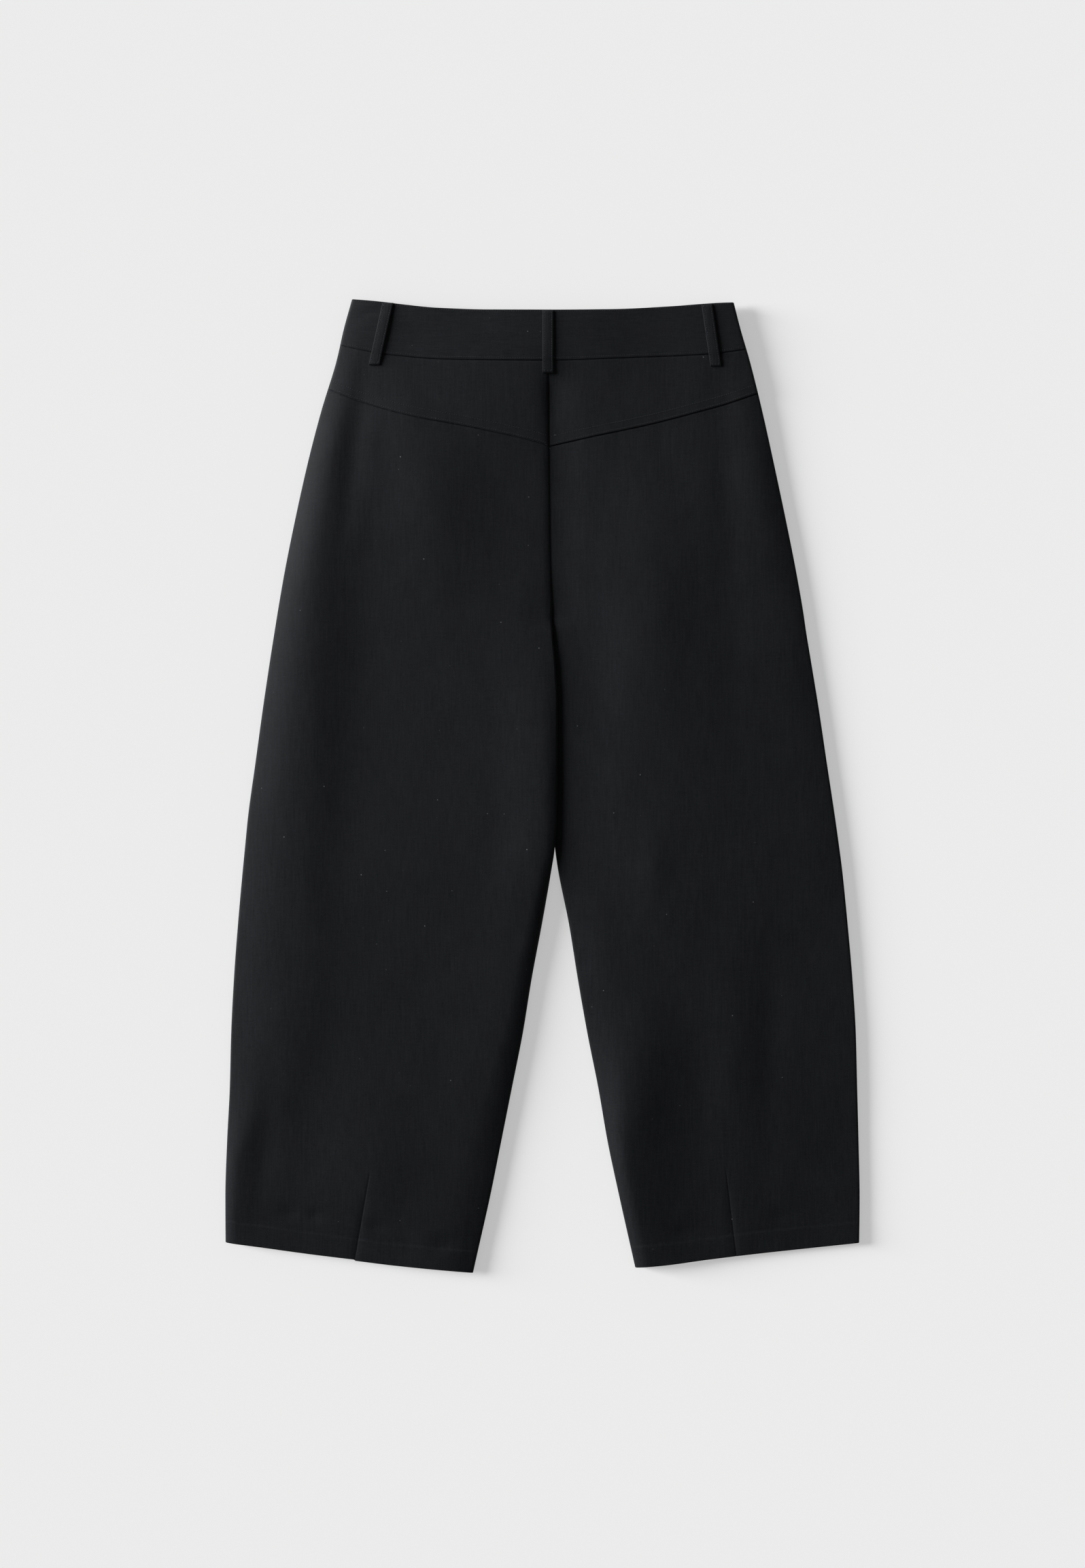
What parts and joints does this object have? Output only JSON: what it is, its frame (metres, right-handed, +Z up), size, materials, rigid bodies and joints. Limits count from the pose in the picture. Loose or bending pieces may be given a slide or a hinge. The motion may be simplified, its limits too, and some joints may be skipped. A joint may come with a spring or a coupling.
{
  "type": "barrel leg trousers",
  "caption": "Black barrel leg trousers laid flat on their front, with a V back yoke, belt loops on the waistband and hem darts that draw in the curved legs.",
  "frame": {"origin": "on the surface that the trousers lie on, below the middle of their outline", "axes": "+Z up out of the back of the trousers, +Y from the hems to the waist, +X to the wearer's right"},
  "size_m": [0.6018, 0.9224, 0.0113],
  "materials": {
    "trouser_cloth": "fine black weave with a faint sheen",
    "zip_tape": "matt black tape",
    "hook_steel": "pressed steel"
  },
  "bodies": {
    "root": {"back_leg_left": "trouser_cloth", "back_leg_right": "trouser_cloth", "back_yoke_left": "trouser_cloth", "back_yoke_right": "trouser_cloth", "waistband_back": "trouser_cloth", "belt_loop_centre": "trouser_cloth", "belt_loop_left": "trouser_cloth", "belt_loop_right": "trouser_cloth", "front_leg_left": "trouser_cloth", "front_leg_right": "trouser_cloth", "waistband_front_left": "trouser_cloth", "waistband_front_right": "trouser_cloth", "belt_loop_front_left": "trouser_cloth", "belt_loop_front_right": "trouser_cloth", "fly_shield": "trouser_cloth", "fly_zip": "zip_tape", "waist_hook": "hook_steel"}
  },
  "joints": []
}
